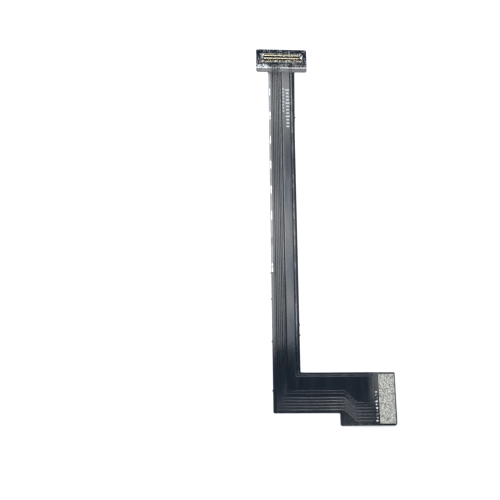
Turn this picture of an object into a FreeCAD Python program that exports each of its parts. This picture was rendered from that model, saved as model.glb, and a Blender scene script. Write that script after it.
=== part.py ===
import FreeCAD, Part
import math
import os
from FreeCAD import Placement, Rotation, Vector

# A flat flexible circuit lying on a table, in millimetres.
# A long strip runs up to a cross-wise head, and at its foot it turns into a side arm that steps out
# to a wider end. The head carries a 60-pole board connector on its upper face. The wide end carries
# the same connector on its lower face, so that end stands off the table by the connector's height.
# While it is drawn, X counts from the strip's left edge and Y from the arm's lower edge, and the
# finished pieces are moved so that the origin is under the middle of the whole cable.

# Plan of the cable
strip_width = 7.7
strip_flare = 0.32
strip_flare_length = 20.0
arm_height = 11.05
arm_length = 18.2
cable_width = 33.7
head_overhang = 3.65
head_depth = 7.35
strip_to_head_top = 109.35

# How far the head and the wide end reach past the two ends of the connector's moulding
head_end_margin = 1.415
wide_end_margin = 0.955

# Corner radii of the plan
head_corner_radius = 0.45
shoulder_radius = 0.55
shoulder_fillet = 0.6
neck_fillet = 0.2
heel_radius = 0.45
inner_corner_radius = 0.35
step_fillet = 0.3
step_radius = 0.5
end_low_radius = 0.8
end_high_radius = 0.35

# Stubs left on the edges where the cable was cut out of its panel
stub_reach = 0.2
stub_width = 0.4
left_stub_heights = (39.1, 31.6, 19.6, 6.1)
right_stub_heights = (87.0, 24.3, 21.4)

# Films of the laminate, from the underside up
lower_film = 0.06
base_film = 0.05
copper = 0.06
cover_film = 0.04
shield_film = 0.04
film_drape = 0.02

# Stiffeners and how the laminate rises over them
bonding_sheet = 0.05
head_stiffener_thickness = 0.25
head_stiffener_depth = 5.6
tail_stiffener_thickness = 0.2
tail_stiffener_width = 4.4
stiffener_margin = 0.35
tail_stiffener_side_margin = 0.55
stiffener_radius = 0.2
head_rise_run = 0.85
tail_rise_run = 13.0
tail_flat = 6.7

# Copper in the strip, counted in from its left and right edges
left_rail_margin = 0.13
right_rail_margin = 0.58
rail_width = 0.42
rail_gap = 0.3
line_width = 0.36
line_gap = 0.17
line_count = 5
guard_width = 0.2
guard_gap = 0.13
plane_gap = 0.44

# The same copper in the arm and in the wide end, counted up from their lower edges
arm_line_margin = 0.72
arm_line_spacing = 0.8
arm_guard_step = 1.23
arm_plane_gap = 0.55
arm_rail_margin = 0.5
end_line_margin = 1.1
terminal_spacing = 0.865
jog_start_past_step = 1.2
jog_run = 3.3
right_rail_setback = 0.5

# Tinned lands at the ends of the conductors
plane_terminals = 4
land_length = 0.65
land_width = 0.45
land_clearance = 0.35

# Bare places on the left rail, counted down from the head, and the rail's reach below the lowest
rail_pad_length = 2.4
rail_pad_width = 0.26
rail_pad_spacing = 7.82
rail_pad_count = 8
rail_pad_drop = 6.66
rail_foot_reach = 1.5

# Board connector: a moulding with a trough and a row of contacts over each of its two long walls
contact_spacing = 0.35
contacts_per_row = 30
contact_width = 0.19
contact_thickness = 0.09
contact_inner = 0.22
contact_outer = 0.72
contact_tail_reach = 1.25
contact_foot_height = 0.25
connector_height = 0.8
trough_floor = 0.2
end_block_start = 0.3
row_to_clip = 0.165
hold_down_thickness = 0.09
hold_down_length = 0.95
hold_down_reach = 1.2
hold_down_notch = 0.3

# Solder lands of the connector and the openings left in the films round it
pad_thickness = 0.03
pad_width = 0.2
pad_clearance = 0.03
opening_half_depth = 1.5
opening_end_margin = 0.2
shield_end_margin = 0.375
shield_side_margin = 0.35
solder_length = 0.18

# Places worked out from the sizes above
row_length = contact_spacing * (contacts_per_row - 1)
housing_length = row_length + contact_width + 2 * (row_to_clip + hold_down_length)
hold_down_end = housing_length / 2 + hold_down_thickness
opening_half_length = hold_down_end + opening_end_margin

head_width = housing_length + 2 * head_end_margin
head_left = -head_overhang
head_right = head_left + head_width
head_top = strip_to_head_top
head_bottom = head_top - head_depth
head_raised_bottom = head_top - head_stiffener_depth
end_bottom = arm_height - housing_length - 2 * wide_end_margin
strip_flare_foot = head_bottom - strip_flare_length
laminate_split = arm_height + 2 * inner_corner_radius
cut_margin = 1.0
tall = 10.0

base_bottom = lower_film
base_top = base_bottom + base_film
head_lift = head_stiffener_thickness + bonding_sheet
tail_lift = connector_height - lower_film

tail_stiffener_right = cable_width - stiffener_margin
tail_stiffener_left = tail_stiffener_right - tail_stiffener_width
film_edge = tail_stiffener_left - land_clearance - land_length

head_connector_x = (head_left + head_right) / 2
head_connector_y = (head_raised_bottom + head_top) / 2
tail_connector_x = (tail_stiffener_left + tail_stiffener_right) / 2
tail_connector_y = (end_bottom + arm_height) / 2

line_pitch = line_width + line_gap
lines_left = left_rail_margin + rail_width + rail_gap
strip_line_x = [lines_left + line_width / 2 + line_pitch * place for place in range(line_count)]
guard_x = strip_line_x[-1] + line_width / 2 + guard_gap + guard_width / 2
plane_left = guard_x + guard_width / 2 + plane_gap
right_rail_x = strip_width - right_rail_margin - rail_width / 2
plane_right = right_rail_x - rail_width / 2 - rail_gap
left_rail_x = left_rail_margin + rail_width / 2

arm_line_y = [arm_line_margin + line_width / 2 + arm_line_spacing * place for place in range(line_count)]
arm_guard_y = arm_line_y[-1] + arm_guard_step
arm_plane_low = arm_guard_y + guard_width / 2 + arm_plane_gap
arm_rail_y = arm_height - arm_rail_margin - rail_width / 2
arm_plane_high = arm_rail_y - rail_width / 2 - rail_gap / 2

end_line_y = [end_bottom + end_line_margin + line_width / 2 + terminal_spacing * place
              for place in range(line_count + 1)]
terminal_y = [end_line_y[0] + terminal_spacing * place for place in range(line_count + 1 + plane_terminals)]
end_plane_low = end_line_y[-1] + arm_plane_gap
jog_start = arm_length + jog_start_past_step
jog_end = jog_start + jog_run

copper_end = head_connector_y - opening_half_depth
rail_pad_top = head_bottom - rail_pad_drop
left_rail_foot = rail_pad_top - rail_pad_spacing * (rail_pad_count - 1) - rail_foot_reach


def flat_point(x, y):
    return Vector(x, y, 0)


def rounded_face(corners):
    """A flat face with corners (x, y, radius), each with its own round."""
    rounds = []
    for index, (x, y, radius) in enumerate(corners):
        corner = flat_point(x, y)
        before = corners[index - 1]
        after = corners[(index + 1) % len(corners)]
        back = (flat_point(before[0], before[1]) - corner).normalize()
        ahead = (flat_point(after[0], after[1]) - corner).normalize()
        if radius == 0:
            rounds.append((corner, None, corner))
            continue
        half_angle = back.getAngle(ahead) / 2
        reach = radius / math.tan(half_angle)
        inward = (back + ahead).normalize()
        middle = corner + inward * (radius / math.sin(half_angle) - radius)
        rounds.append((corner + back * reach, middle, corner + ahead * reach))
    edges = []
    for index, (start, middle, finish) in enumerate(rounds):
        if middle is not None:
            edges.append(Part.Arc(start, middle, finish).toShape())
        next_start = rounds[(index + 1) % len(rounds)][0]
        edges.append(Part.LineSegment(finish, next_start).toShape())
    return Part.Face(Part.Wire(edges))


def upright(face):
    """The column of space over and under a plan face."""
    column = face.extrude(Vector(0, 0, 2 * tall))
    column.translate(Vector(0, 0, -tall))
    return column


def plan_box(x_low, x_high, y_low, y_high, radius=0.0):
    corners = [(x_low, y_low), (x_high, y_low), (x_high, y_high), (x_low, y_high)]
    return upright(rounded_face([(x, y, radius) for x, y in corners]))


def parallel(points, distance):
    """The points of a polyline moved sideways, with mitred corners."""
    moved = []
    for index, point in enumerate(points):
        normals = []
        if index > 0:
            step = (point - points[index - 1]).normalize()
            normals.append(Vector(-step.y, step.x, 0))
        if index < len(points) - 1:
            step = (points[index + 1] - point).normalize()
            normals.append(Vector(-step.y, step.x, 0))
        mitre = (normals[0] + normals[-1]).normalize()
        moved.append(point + mitre * (distance / mitre.dot(normals[0])))
    return moved


def band(route, width, grow):
    """A conductor's plan along its route, grown by the same amount all round."""
    points = [flat_point(x, y) for x, y in route]
    first = (points[0] - points[1]).normalize() * grow
    last = (points[-1] - points[-2]).normalize() * grow
    points = [points[0] + first] + points[1:-1] + [points[-1] + last]
    reach = width / 2 + grow
    ring = parallel(points, reach) + parallel(points, -reach)[::-1]
    return upright(Part.Face(Part.makePolygon(ring + ring[:1])))


def rising_slab(start, foot, run, end, lift, low, high, turn_to_y):
    """Side view of a film that lies flat, rises on a slope and lies flat again, of even thickness."""
    bend = math.atan(lift / run)
    ring = []
    for offset in (low, high):
        set_back = offset * math.tan(bend / 2)
        row = [(start, offset), (foot - set_back, offset), (foot + run - set_back, lift + offset),
               (end, lift + offset)]
        ring += row if offset == low else row[::-1]
    corners = [Vector(0, along, height) if turn_to_y else Vector(along, 0, height)
               for along, height in ring]
    return Part.Face(Part.makePolygon(corners + corners[:1]))


def layer(low, high):
    """All that lies between two heights in the laminate, which rises on to the head and the wide end."""
    head_start = laminate_split
    head_foot = head_raised_bottom - head_rise_run
    head_side = rising_slab(head_start, head_foot, head_rise_run, head_top + cut_margin,
                            head_lift, low, high, True)
    head_side.translate(Vector(head_left - cut_margin, 0, 0))
    head_slab = head_side.extrude(Vector(head_width + 2 * cut_margin, 0, 0))
    tail_foot = cable_width - tail_flat - tail_rise_run
    tail_side = rising_slab(head_left - cut_margin, tail_foot, tail_rise_run, cable_width + cut_margin,
                            tail_lift, low, high, False)
    tail_side.translate(Vector(0, laminate_split, 0))
    tail_slab = tail_side.extrude(Vector(0, end_bottom - cut_margin - laminate_split, 0))
    return head_slab.fuse(tail_slab).removeSplitter()


def cable_outline():
    """The plan of the whole cable, with its cut-off stubs."""
    body = upright(rounded_face([
        (0, 0, heel_radius),
        (arm_length, 0, step_fillet),
        (arm_length, end_bottom, step_radius),
        (cable_width, end_bottom, end_low_radius),
        (cable_width, arm_height, end_high_radius),
        (strip_width, arm_height, inner_corner_radius),
        (strip_width, strip_flare_foot, 0),
        (strip_width + strip_flare, head_bottom, neck_fillet),
        (head_right, head_bottom, shoulder_radius),
        (head_right, head_top, head_corner_radius),
        (head_left, head_top, head_corner_radius),
        (head_left, head_bottom, shoulder_radius),
        (0, head_bottom, shoulder_fillet),
    ]))
    stubs = []
    for height in left_stub_heights:
        stubs.append(plan_box(-stub_reach, strip_width / 2, height - stub_width / 2,
                              height + stub_width / 2))
    for height in right_stub_heights:
        flare_share = max(0, (height - strip_flare_foot) / strip_flare_length)
        edge = strip_width + strip_flare * flare_share
        stubs.append(plan_box(strip_width / 2, edge + stub_reach, height - stub_width / 2,
                              height + stub_width / 2))
    return body.multiFuse(stubs).removeSplitter()


def copper_plans(grow):
    """Every conductor's plan by name, grown by the same amount all round."""
    plans = {
        "ground_rail_left": band([(left_rail_x, copper_end), (left_rail_x, left_rail_foot)],
                                 rail_width, grow),
        "ground_rail_right": band([(right_rail_x, copper_end), (right_rail_x, arm_rail_y),
                                   (film_edge - right_rail_setback, arm_rail_y)], rail_width, grow),
    }
    for place in range(line_count):
        route = bent_route(strip_line_x[place], arm_line_y[place], end_line_y[place])
        plans["signal_line_" + str(place + 1)] = band(route, line_width, grow)
    plans["guard_line"] = band(bent_route(guard_x, arm_guard_y, end_line_y[-1]), guard_width, grow)
    corners = [(plane_left, copper_end), (plane_left, arm_plane_low), (jog_start, arm_plane_low),
               (jog_end, end_plane_low), (film_edge, end_plane_low), (film_edge, arm_plane_high),
               (plane_right, arm_plane_high), (plane_right, copper_end)]
    plane = rounded_face([(x, y, 0) for x, y in corners])
    if grow:
        plane = plane.makeOffset2D(grow, 2)
    plans["power_plane"] = upright(plane)
    return plans


def bent_route(strip_x, arm_y, end_y):
    """Down the strip, along the arm, and by a slanting jog into the wide end."""
    return [(strip_x, copper_end), (strip_x, arm_y), (jog_start, arm_y), (jog_end, end_y),
            (film_edge, end_y)]


def joined(shapes):
    shapes = list(shapes)
    return shapes[0].multiFuse(shapes[1:])


def rail_pad_plan():
    pads = []
    for place in range(rail_pad_count):
        middle = rail_pad_top - rail_pad_spacing * place
        pads.append(plan_box(left_rail_x - rail_pad_width / 2, left_rail_x + rail_pad_width / 2,
                             middle - rail_pad_length / 2, middle + rail_pad_length / 2))
    return Part.makeCompound(pads)


def opening(middle_x, middle_y, along_x):
    """The opening in a cover film round a connector's solder lands."""
    half_x, half_y = opening_half_length, opening_half_depth
    if not along_x:
        half_x, half_y = half_y, half_x
    return plan_box(middle_x - half_x, middle_x + half_x, middle_y - half_y, middle_y + half_y)


def films_and_copper():
    outline = cable_outline()
    covered = outline.common(plan_box(head_left - cut_margin, film_edge,
                                      end_bottom - cut_margin, head_top + cut_margin))
    head_opening = opening(head_connector_x, head_connector_y, True)
    tail_opening = opening(tail_connector_x, tail_connector_y, False)
    copper_top = base_top + copper
    pieces = {}

    pieces["lower_cover_film"] = layer(0, base_bottom).common(outline).cut(tail_opening)
    pieces["base_film"] = layer(base_bottom, base_top).common(outline)

    copper_layer = layer(base_top, copper_top)
    for name, plan in copper_plans(0).items():
        pieces[name] = copper_layer.common(plan)
    conductors = joined(copper_layer.common(plan) for plan in copper_plans(0).values())
    pieces["terminal_lands"] = copper_layer.common(land_plan())

    cover_ridges = joined(copper_plans(film_drape).values())
    cover_top = copper_top + cover_film
    cover_flat = layer(base_top, base_top + cover_film).common(covered)
    cover_raised = layer(base_top, cover_top).common(cover_ridges).common(covered)
    rail_pads = rail_pad_plan()
    cover = cover_flat.fuse(cover_raised).cut(conductors).cut(head_opening).cut(rail_pads)
    pieces["upper_cover_film"] = cover.removeSplitter()

    shield_ridges = joined(copper_plans(2 * film_drape).values())
    shield_top = cover_top + shield_film
    shield_bottom = base_top + cover_film
    shield_flat = layer(shield_bottom, shield_bottom + shield_film).common(covered)
    shield_raised = layer(shield_bottom, shield_top).common(shield_ridges).common(covered)
    under = layer(base_top, cover_top).common(cover_ridges)
    window_half_x = opening_half_length + shield_end_margin
    window_half_y = opening_half_depth + shield_side_margin
    window = plan_box(head_connector_x - window_half_x, head_connector_x + window_half_x,
                      head_connector_y - window_half_y, head_connector_y + window_half_y)
    shield = shield_flat.fuse(shield_raised).cut(under).cut(window).cut(rail_pads)
    pieces["shield_film"] = shield.removeSplitter()
    pieces["rail_contact_pads"] = layer(copper_top, shield_top).common(rail_pads)
    return pieces


def land_plan():
    lands = []
    for height in terminal_y:
        lands.append(plan_box(film_edge, film_edge + land_length,
                              height - land_width / 2, height + land_width / 2))
    return Part.makeCompound(lands)


def stiffener(x_low, x_high, y_low, y_high, low, thickness):
    face = rounded_face([(x, y, stiffener_radius) for x, y in
                         ((x_low, y_low), (x_high, y_low), (x_high, y_high), (x_low, y_high))])
    face.translate(Vector(0, 0, low))
    return face.extrude(Vector(0, 0, thickness))


def stiffeners():
    """Each plate is bonded to the face that lies opposite its connector."""
    head = (head_left + stiffener_margin, head_right - stiffener_margin,
            head_raised_bottom, head_top - stiffener_margin)
    tail = (tail_stiffener_left, tail_stiffener_right,
            end_bottom + tail_stiffener_side_margin, arm_height - tail_stiffener_side_margin)
    tail_face = tail_lift + base_top
    return {
        "head_stiffener": stiffener(*head, 0, head_stiffener_thickness),
        "head_bonding_sheet": stiffener(*head, head_stiffener_thickness, bonding_sheet),
        "tail_bonding_sheet": stiffener(*tail, tail_face, bonding_sheet),
        "tail_stiffener": stiffener(*tail, tail_face + bonding_sheet, tail_stiffener_thickness),
    }


def profile_bar(points, x_start, length):
    """A bar with a (y, z) section."""
    ring = [Vector(x_start, y, z) for y, z in points]
    return Part.Face(Part.makePolygon(ring + ring[:1])).extrude(Vector(length, 0, 0))


def contact(x, side):
    """One contact: a tail on its land, a leg up the wall, over its top and down into the trough."""
    inner = contact_inner + contact_thickness
    outer = contact_outer - contact_thickness
    under = connector_height - contact_thickness
    points = [
        (contact_tail_reach, pad_thickness),
        (contact_tail_reach, pad_thickness + contact_thickness),
        (contact_outer, pad_thickness + contact_thickness),
        (contact_outer, connector_height),
        (contact_inner, connector_height),
        (contact_inner, contact_foot_height),
        (inner, contact_foot_height),
        (inner, under),
        (outer, under),
        (outer, pad_thickness),
    ]
    return profile_bar([(side * y, z) for y, z in points], x - contact_width / 2, contact_width)


def contact_row(side):
    return [contact(-row_length / 2 + contact_spacing * place, side) for place in range(contacts_per_row)]


def hold_down(side):
    """A clip over the end of the moulding, notched towards the contacts and soldered by four feet."""
    outer = contact_outer
    inner = outer - hold_down_thickness
    under = connector_height - hold_down_thickness
    foot_top = pad_thickness + hold_down_thickness
    half = [
        (outer, connector_height),
        (outer, foot_top),
        (hold_down_reach, foot_top),
        (hold_down_reach, pad_thickness),
        (inner, pad_thickness),
        (inner, under),
    ]
    section = half + [(-y, z) for y, z in reversed(half)]
    start = housing_length / 2 - hold_down_length
    clip = profile_bar(section, start, hold_down_length)
    end_plate = Part.makeBox(hold_down_thickness, 2 * outer, connector_height - pad_thickness,
                             Vector(housing_length / 2, -outer, pad_thickness))
    notch = Part.makeCylinder(hold_down_notch, 2 * hold_down_thickness,
                              Vector(start, 0, under - hold_down_thickness / 2))
    clip = clip.fuse(end_plate).cut(notch).removeSplitter()
    if side < 0:
        clip.rotate(Vector(0, 0, 0), Vector(0, 0, 1), 180)
    return clip


def moulding():
    """The black moulding: a long trough with solid end blocks, inside the contacts and the clips."""
    wall_top = connector_height - contact_thickness
    wall_inner = contact_inner + contact_thickness
    wall_outer = contact_outer - contact_thickness
    half = [(wall_outer, 0), (wall_outer, wall_top), (wall_inner, wall_top), (wall_inner, trough_floor)]
    row_section = half + [(-y, z) for y, z in reversed(half)]
    end_section = half[:2] + [(-y, z) for y, z in reversed(half[:2])]
    trough_end = row_length / 2 + end_block_start
    body = profile_bar(row_section, -trough_end, 2 * trough_end)
    block_length = housing_length / 2 - trough_end
    for start in (-housing_length / 2, trough_end):
        body = body.fuse(profile_bar(end_section, start, block_length))
    return body.removeSplitter()


def solder_land(x, width, side):
    inner = contact_outer + pad_clearance
    depth = opening_half_depth - inner
    low = inner if side > 0 else -opening_half_depth
    return Part.makeBox(width, depth, pad_thickness, Vector(x - width / 2, low, 0))


def solder_fillet(x, side):
    points = [(contact_tail_reach, pad_thickness), (contact_tail_reach + solder_length, pad_thickness),
              (contact_tail_reach, pad_thickness + contact_thickness)]
    return profile_bar([(side * y, z) for y, z in points], x - contact_width / 2, contact_width)


def connector(prefix, row_names):
    """All pieces of one connector, with X along its rows and Z up from the film that it stands on."""
    rows = [contact_row(1), contact_row(-1)]
    clips = [hold_down(-1), hold_down(1)]
    pieces = {prefix + "_connector_housing": moulding()}
    for name, row in zip(row_names, rows):
        pieces[prefix + "_contacts_" + name] = Part.makeCompound(row)
    pieces[prefix + "_hold_down_1"] = clips[0]
    pieces[prefix + "_hold_down_2"] = clips[1]
    lands = []
    fillets = []
    for side in (1, -1):
        for place in range(contacts_per_row):
            x = -row_length / 2 + contact_spacing * place
            lands.append(solder_land(x, pad_width, side))
            fillets.append(solder_fillet(x, side))
        for end in (-1, 1):
            middle = end * (hold_down_end - hold_down_length / 2)
            lands.append(solder_land(middle, hold_down_length, side))
    pieces[prefix + "_solder_lands"] = Part.makeCompound(lands)
    pieces[prefix + "_solder_joints"] = Part.makeCompound(fillets)
    return pieces


def placed(pieces, placement):
    moved = {}
    for name, shape in pieces.items():
        shape = shape.copy()
        shape.Placement = placement.multiply(shape.Placement)
        moved[name] = shape
    return moved


def main():
    pieces = films_and_copper()
    pieces.update(stiffeners())

    head_face = Vector(head_connector_x, head_connector_y, head_lift + base_top)
    pieces.update(placed(connector("head", ("far_row", "near_row")), Placement(head_face, Rotation())))

    tail_face = Vector(tail_connector_x, tail_connector_y, tail_lift + base_bottom)
    turned_over = Rotation(Vector(0, 0, 1), 90).multiply(Rotation(Vector(1, 0, 0), 180))
    pieces.update(placed(connector("tail", ("outer_row", "inner_row")), Placement(tail_face, turned_over)))

    middle = Vector(-(head_left + cable_width) / 2, -(end_bottom + head_top) / 2, 0)
    os.makedirs("parts", exist_ok=True)
    for name, shape in pieces.items():
        shape.translate(middle)
        shape.exportStep("parts/" + name + ".step")


main()
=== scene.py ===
# %% [markdown]
# # Dressing a flat flexible cable
# The cable is a printed circuit on thin film: copper between black films, with a board connector at each
# end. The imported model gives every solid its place. This lesson loads it, lights it like the product
# photograph, and gives it rounded films, real contacts and finishes.

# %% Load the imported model
import math
import bmesh
import bpy
from mathutils import Matrix, Vector


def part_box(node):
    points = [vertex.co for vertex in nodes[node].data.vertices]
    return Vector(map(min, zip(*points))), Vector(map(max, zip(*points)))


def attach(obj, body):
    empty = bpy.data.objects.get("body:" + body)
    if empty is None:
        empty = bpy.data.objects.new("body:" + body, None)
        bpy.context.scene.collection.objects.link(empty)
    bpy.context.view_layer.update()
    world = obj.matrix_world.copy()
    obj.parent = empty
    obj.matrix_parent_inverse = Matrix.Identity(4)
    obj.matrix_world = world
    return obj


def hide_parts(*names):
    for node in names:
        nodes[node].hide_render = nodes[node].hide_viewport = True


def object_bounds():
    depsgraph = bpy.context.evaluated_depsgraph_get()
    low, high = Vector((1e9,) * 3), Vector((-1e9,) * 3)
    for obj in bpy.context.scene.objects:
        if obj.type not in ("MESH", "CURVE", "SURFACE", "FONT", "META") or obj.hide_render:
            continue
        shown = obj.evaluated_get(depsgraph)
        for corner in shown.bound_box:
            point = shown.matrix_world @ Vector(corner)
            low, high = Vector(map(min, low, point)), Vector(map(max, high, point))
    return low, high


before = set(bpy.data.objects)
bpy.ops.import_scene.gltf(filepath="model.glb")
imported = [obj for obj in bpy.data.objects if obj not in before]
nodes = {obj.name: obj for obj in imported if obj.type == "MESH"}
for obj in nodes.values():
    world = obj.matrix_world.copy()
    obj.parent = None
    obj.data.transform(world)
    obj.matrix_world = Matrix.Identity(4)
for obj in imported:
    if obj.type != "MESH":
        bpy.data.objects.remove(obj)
cad_box = [[float(value) for value in corner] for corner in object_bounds()]
MM = 0.001


def in_mm(box):
    """A box in millimetres, rounded for printing."""
    return [[round(value / MM, 2) for value in corner] for corner in box]


print("CAD box in mm:", in_mm(cad_box), "nodes:", len(nodes))

# %% [markdown]
# ## The camera
# The photograph was taken from about 220 mm above the table, tilted by some 15 degrees, so the far end
# looks a little narrower. A camera that looks straight down would be simpler, but would show both ends
# equally wide. This place and this lens were fitted to the straight edges of the cable.

# %% Set the camera
camera_place = (-33.82 * MM, -66.73 * MM, 220.05 * MM)
camera_turn = (15.159, -3.216, -0.444)
lens_length, sensor_width = 57.6, 36.0
nearest, farthest = 1 * MM, 20.0

bpy.ops.object.camera_add(location=camera_place, rotation=[math.radians(angle) for angle in camera_turn])
camera = bpy.context.object
camera.name = "photo_camera"
camera.data.lens = lens_length
camera.data.sensor_width = sensor_width
camera.data.clip_start = nearest
camera.data.clip_end = farthest
bpy.context.scene.camera = camera
bpy.context.scene.view_settings.view_transform = "Standard"
print("camera", camera_place, "tilt", camera_turn[0])

# %% [markdown]
# ## The lamps
# Black film has hardly any colour of its own. What the eye reads is what it mirrors, so the lamps are hung
# where the film reflects them. One large soft box would make the whole strip evenly grey, but the real film
# gets brighter and darker along its length. So the soft box is divided into bands, and each stretch of the
# strip mirrors a band of its own. The bands lie side by side at one height, because of two lamps above one
# another a mirror shows only the lower one. The left bands belong to the signal lines and the right ones to
# the power plane, and the outer bands are mirrored by the slopes of the ridges. Dim bands are a little blue.

# %% Hang the bands over the strip
lamp_height = 600 * MM
dim_radiance = 3.5
dim_tint, bright_tint = (0.82, 0.94, 1.12), (1.0, 1.0, 1.0)


def hang_lamp(name, centre, size, radiance, tint=bright_tint):
    """A soft box that faces straight down, with its radiance in units of white paper."""
    bpy.ops.object.light_add(type="AREA", location=(centre[0], centre[1], lamp_height))
    lamp = bpy.context.object
    lamp.name = name
    lamp.data.shape = "RECTANGLE"
    lamp.data.size, lamp.data.size_y = size
    lamp.data.energy = radiance * math.pi * size[0] * size[1]
    lamp.data.color = tint


# For each side: where its bands begin and end along x, in mm, and then for each band its start along y and
# its radiance. A band ends where the next one begins.
band_sides = {
    "outer_left": (-190, -70, [(120, 8.0), (362, 0)]),
    "left": (-70, 50, [(54, 5.2), (85, 6.2), (150, 9.0), (220, 5.6), (300, 8.2), (366, 0)]),
    "right": (50, 180, [(54, 2.9), (88, 5.4), (112, 3.4), (150, 4.5), (200, 2.6), (240, 1.6), (288, 4.0),
                        (312, 5.2), (332, 6.9), (366, 0)]),
    "outer_right": (180, 330, [(120, 2.4), (362, 0)]),
}
for side, (low_x, high_x, bands) in band_sides.items():
    for (low_y, radiance), (high_y, _) in zip(bands, bands[1:]):
        hang_lamp(f"{side}_band_{low_y}",
                  ((low_x + high_x) / 2 * MM, (low_y + high_y) / 2 * MM),
                  ((high_x - low_x) * MM, (high_y - low_y) * MM),
                  radiance, dim_tint if radiance < dim_radiance else bright_tint)

# %% [markdown]
# The flat arm mirrors a dark part of the room, apart from a faint gleam near its wide end, which is the side
# lamp. The slope in front of the head leans towards the camera and shines, so it gets a strong small lamp of
# its own over the near side of the table, which nothing flat mirrors. A brighter sky would light both
# places too, but would turn the whole arm grey.

# %% Hang the side lamp and the near lamp
hang_lamp("side_lamp", centre=(155 * MM, 24 * MM), size=(110 * MM, 52 * MM), radiance=2.6)
hang_lamp("near_lamp", centre=(50 * MM, -78 * MM), size=(130 * MM, 56 * MM), radiance=24.0)

# %% [markdown]
# ## The sky
# Beyond the lamps the film mirrors the room. A plain grey world would be enough for light, but the heel and
# the arm look blue-black, so the sky is dim and blue overhead. It is pale at the horizon, where the light
# for steep faces comes from. Only the camera sees it as plain white.

# %% Paint the sky
sky_overhead = (0.08, 0.16, 0.26)
sky_horizon = (0.9, 0.92, 0.95)
horizon_ends, overhead_begins = 0.15, 0.75

world = bpy.data.worlds.new("studio")
bpy.context.scene.world = world
world.use_nodes = True
sky = world.node_tree
background = sky.nodes["Background"]
direction = sky.nodes.new("ShaderNodeTexCoord")
split = sky.nodes.new("ShaderNodeSeparateXYZ")
sky.links.new(direction.outputs["Generated"], split.inputs["Vector"])
fade = sky.nodes.new("ShaderNodeValToRGB")
fade.color_ramp.elements[0].position = horizon_ends
fade.color_ramp.elements[0].color = (*sky_horizon, 1)
fade.color_ramp.elements[1].position = overhead_begins
fade.color_ramp.elements[1].color = (*sky_overhead, 1)
sky.links.new(split.outputs["Z"], fade.inputs["Fac"])
ray = sky.nodes.new("ShaderNodeLightPath")
seen = sky.nodes.new("ShaderNodeMixRGB")
seen.inputs["Color2"].default_value = (1, 1, 1, 1)
sky.links.new(ray.outputs["Is Camera Ray"], seen.inputs["Fac"])
sky.links.new(fade.outputs["Color"], seen.inputs["Color1"])
sky.links.new(seen.outputs["Color"], background.inputs["Color"])
background.inputs["Strength"].default_value = 1.0
print("sky overhead", sky_overhead, "horizon", sky_horizon)

# %% [markdown]
# ## The table
# The cable lies on a plain white sheet. Stronger lamps would turn the sheet white too, but they would wash
# out the cable and its shadow. So half of the white is glow that only the camera and mirrors see, and the
# other half is lit, and keeps the soft shadow. Far out, beyond the lamps, all of it is glow.

# %% Lay the table
table_drop = 0.02 * MM
sheet_size = 6.0
bpy.ops.mesh.primitive_plane_add(size=sheet_size, location=(0, 0, -table_drop))
table = bpy.context.object
table.name = "table"
print("table", sheet_size, "m wide,", table_drop / MM, "mm under the cable")

# %% Paint the table
paper_colour = (0.8, 0.77, 0.75)
near_reach, far_reach = 0.12, 0.7
near_glow, far_glow = 0.5, 1.0

paper = bpy.data.materials.new("white_paper")
paper.use_nodes = True
tree = paper.node_tree
tree.nodes.clear()
diffuse = tree.nodes.new("ShaderNodeBsdfDiffuse")
diffuse.inputs["Color"].default_value = (*paper_colour, 1)
glow = tree.nodes.new("ShaderNodeEmission")
path = tree.nodes.new("ShaderNodeLightPath")
either = tree.nodes.new("ShaderNodeMath")
either.operation = "MAXIMUM"
tree.links.new(path.outputs["Is Camera Ray"], either.inputs[0])
tree.links.new(path.outputs["Is Glossy Ray"], either.inputs[1])
place = tree.nodes.new("ShaderNodeTexCoord")
reach = tree.nodes.new("ShaderNodeVectorMath")
reach.operation = "LENGTH"
tree.links.new(place.outputs["Object"], reach.inputs[0])
share = tree.nodes.new("ShaderNodeMapRange")
for socket, value in (("From Min", near_reach), ("From Max", far_reach), ("To Min", near_glow),
                      ("To Max", far_glow)):
    share.inputs[socket].default_value = value
tree.links.new(reach.outputs["Value"], share.inputs["Value"])
lit = tree.nodes.new("ShaderNodeMath")
lit.operation = "MULTIPLY"
tree.links.new(either.outputs[0], lit.inputs[0])
tree.links.new(share.outputs["Result"], lit.inputs[1])
tree.links.new(lit.outputs[0], glow.inputs["Strength"])
total = tree.nodes.new("ShaderNodeAddShader")
tree.links.new(diffuse.outputs[0], total.inputs[0])
tree.links.new(glow.outputs[0], total.inputs[1])
surface = tree.nodes.new("ShaderNodeOutputMaterial")
tree.links.new(total.outputs[0], surface.inputs["Surface"])
table.data.materials.append(paper)
print(paper.name, "nodes:", len(tree.nodes))

# %% [markdown]
# ## Finishes
# Each finish is a Principled shader with noise on the object's own coordinates, in metres. An image of the
# film would be quicker, but noise stays sharp close up and needs no file. Numbers that are the same all over
# sit on the shader's sockets, and only what really varies is painted by nodes.

# %% Helpers that start a finish and vary it


def new_finish(name, colour, roughness, metallic=0.0):
    """A Principled material."""
    finish = bpy.data.materials.new(name)
    finish.use_nodes = True
    shader = finish.node_tree.nodes["Principled BSDF"]
    shader.inputs["Base Color"].default_value = (*colour, 1)
    shader.inputs["Roughness"].default_value = roughness
    shader.inputs["Metallic"].default_value = metallic
    print("finish", name)
    return finish


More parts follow.
